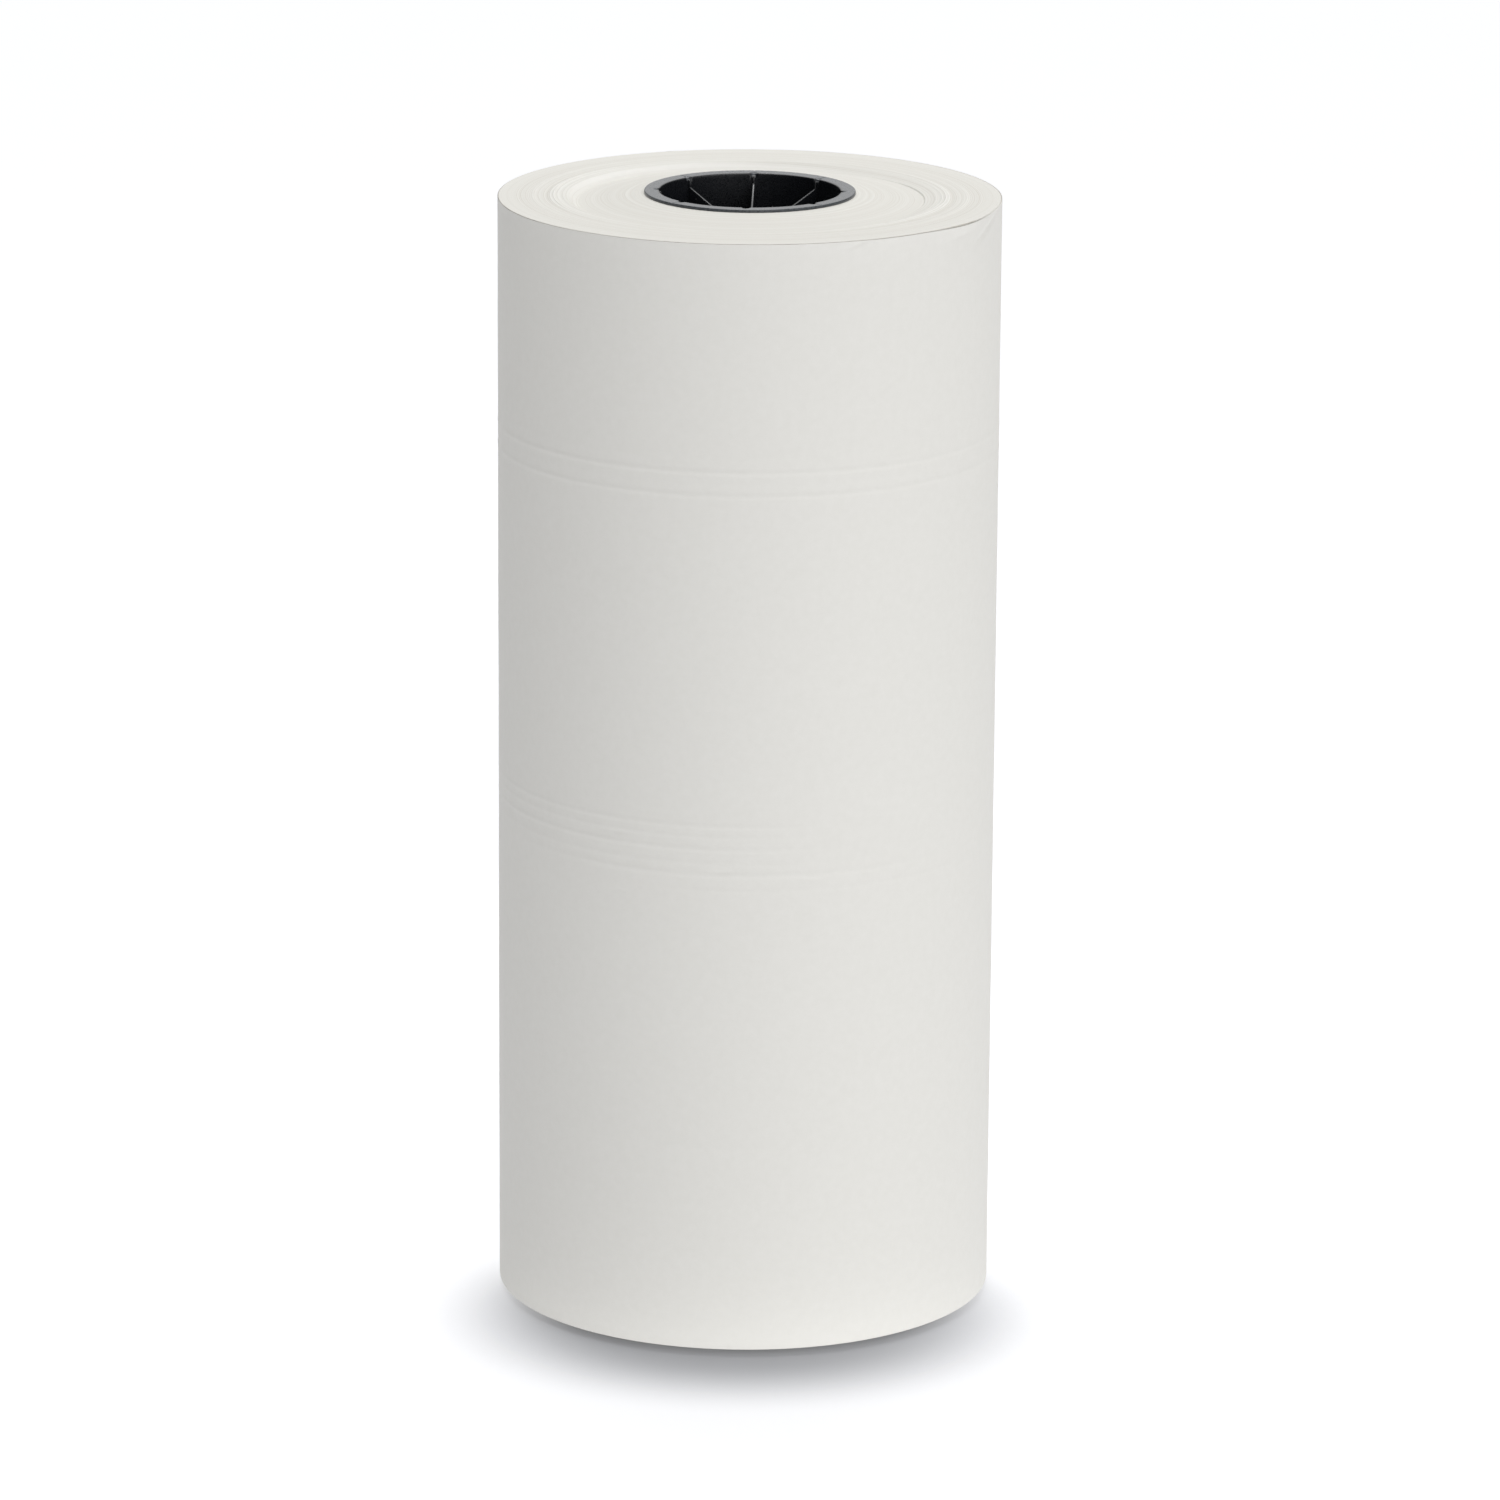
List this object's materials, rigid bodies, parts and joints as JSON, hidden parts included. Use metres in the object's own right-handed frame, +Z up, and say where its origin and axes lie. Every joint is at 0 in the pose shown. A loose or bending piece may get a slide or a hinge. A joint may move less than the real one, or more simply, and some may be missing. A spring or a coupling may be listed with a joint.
{
  "type": "paper roll",
  "caption": "Upright roll of white paper wound on a board core, with a ribbed, flanged plug in each end of the core and a taped tail.",
  "frame": {"origin": "centre of the roll's foot: the level of its lowest wraps, on the roll's axis", "axes": "+Z up along the roll's axis, -Y the front, with the web's tail at the back on the +Y side"},
  "size_m": [0.2042, 0.2043, 0.4623],
  "materials": {
    "white_paper": "matte",
    "liner_board": "matte",
    "core_board": "matte",
    "cover_board": "matte",
    "double_sided_tape": "satin",
    "tab_tape": "satin",
    "plug_plastic": "satin"
  },
  "bodies": {
    "roll": {"core_liner_ply": "liner_board", "core_body_ply_1": "core_board", "core_body_ply_2": "core_board", "core_body_ply_3": "core_board", "core_body_ply_4": "core_board", "core_body_ply_5": "core_board", "core_cover_ply": "cover_board", "start_tape": "double_sided_tape", "web_inner_wraps": "white_paper", "web_outer_wraps": "white_paper", "outer_wrap": "white_paper"},
    "tail": {"tail_flap": "white_paper", "tail_tape_tabs": "tab_tape"},
    "top_plug": {"core_plug_top": "plug_plastic"},
    "bottom_plug": {"core_plug_bottom": "plug_plastic"}
  },
  "joints": [
    {"name": "top_plug_pull", "type": "slide", "parent": "roll", "child": "top_plug", "axis": [0, 0, 1], "range_m": [0, 0.04]},
    {"name": "bottom_plug_pull", "type": "slide", "parent": "roll", "child": "bottom_plug", "axis": [0, 0, -1], "range_m": [0, 0.04]},
    {"name": "tail_lift", "type": "hinge", "parent": "roll", "child": "tail", "pos_m": [0.03479, 0.09604, 0], "axis": [0, 0, -1], "range_deg": [0, 90], "stiffness_Nm_per_rad": 0.02}
  ]
}
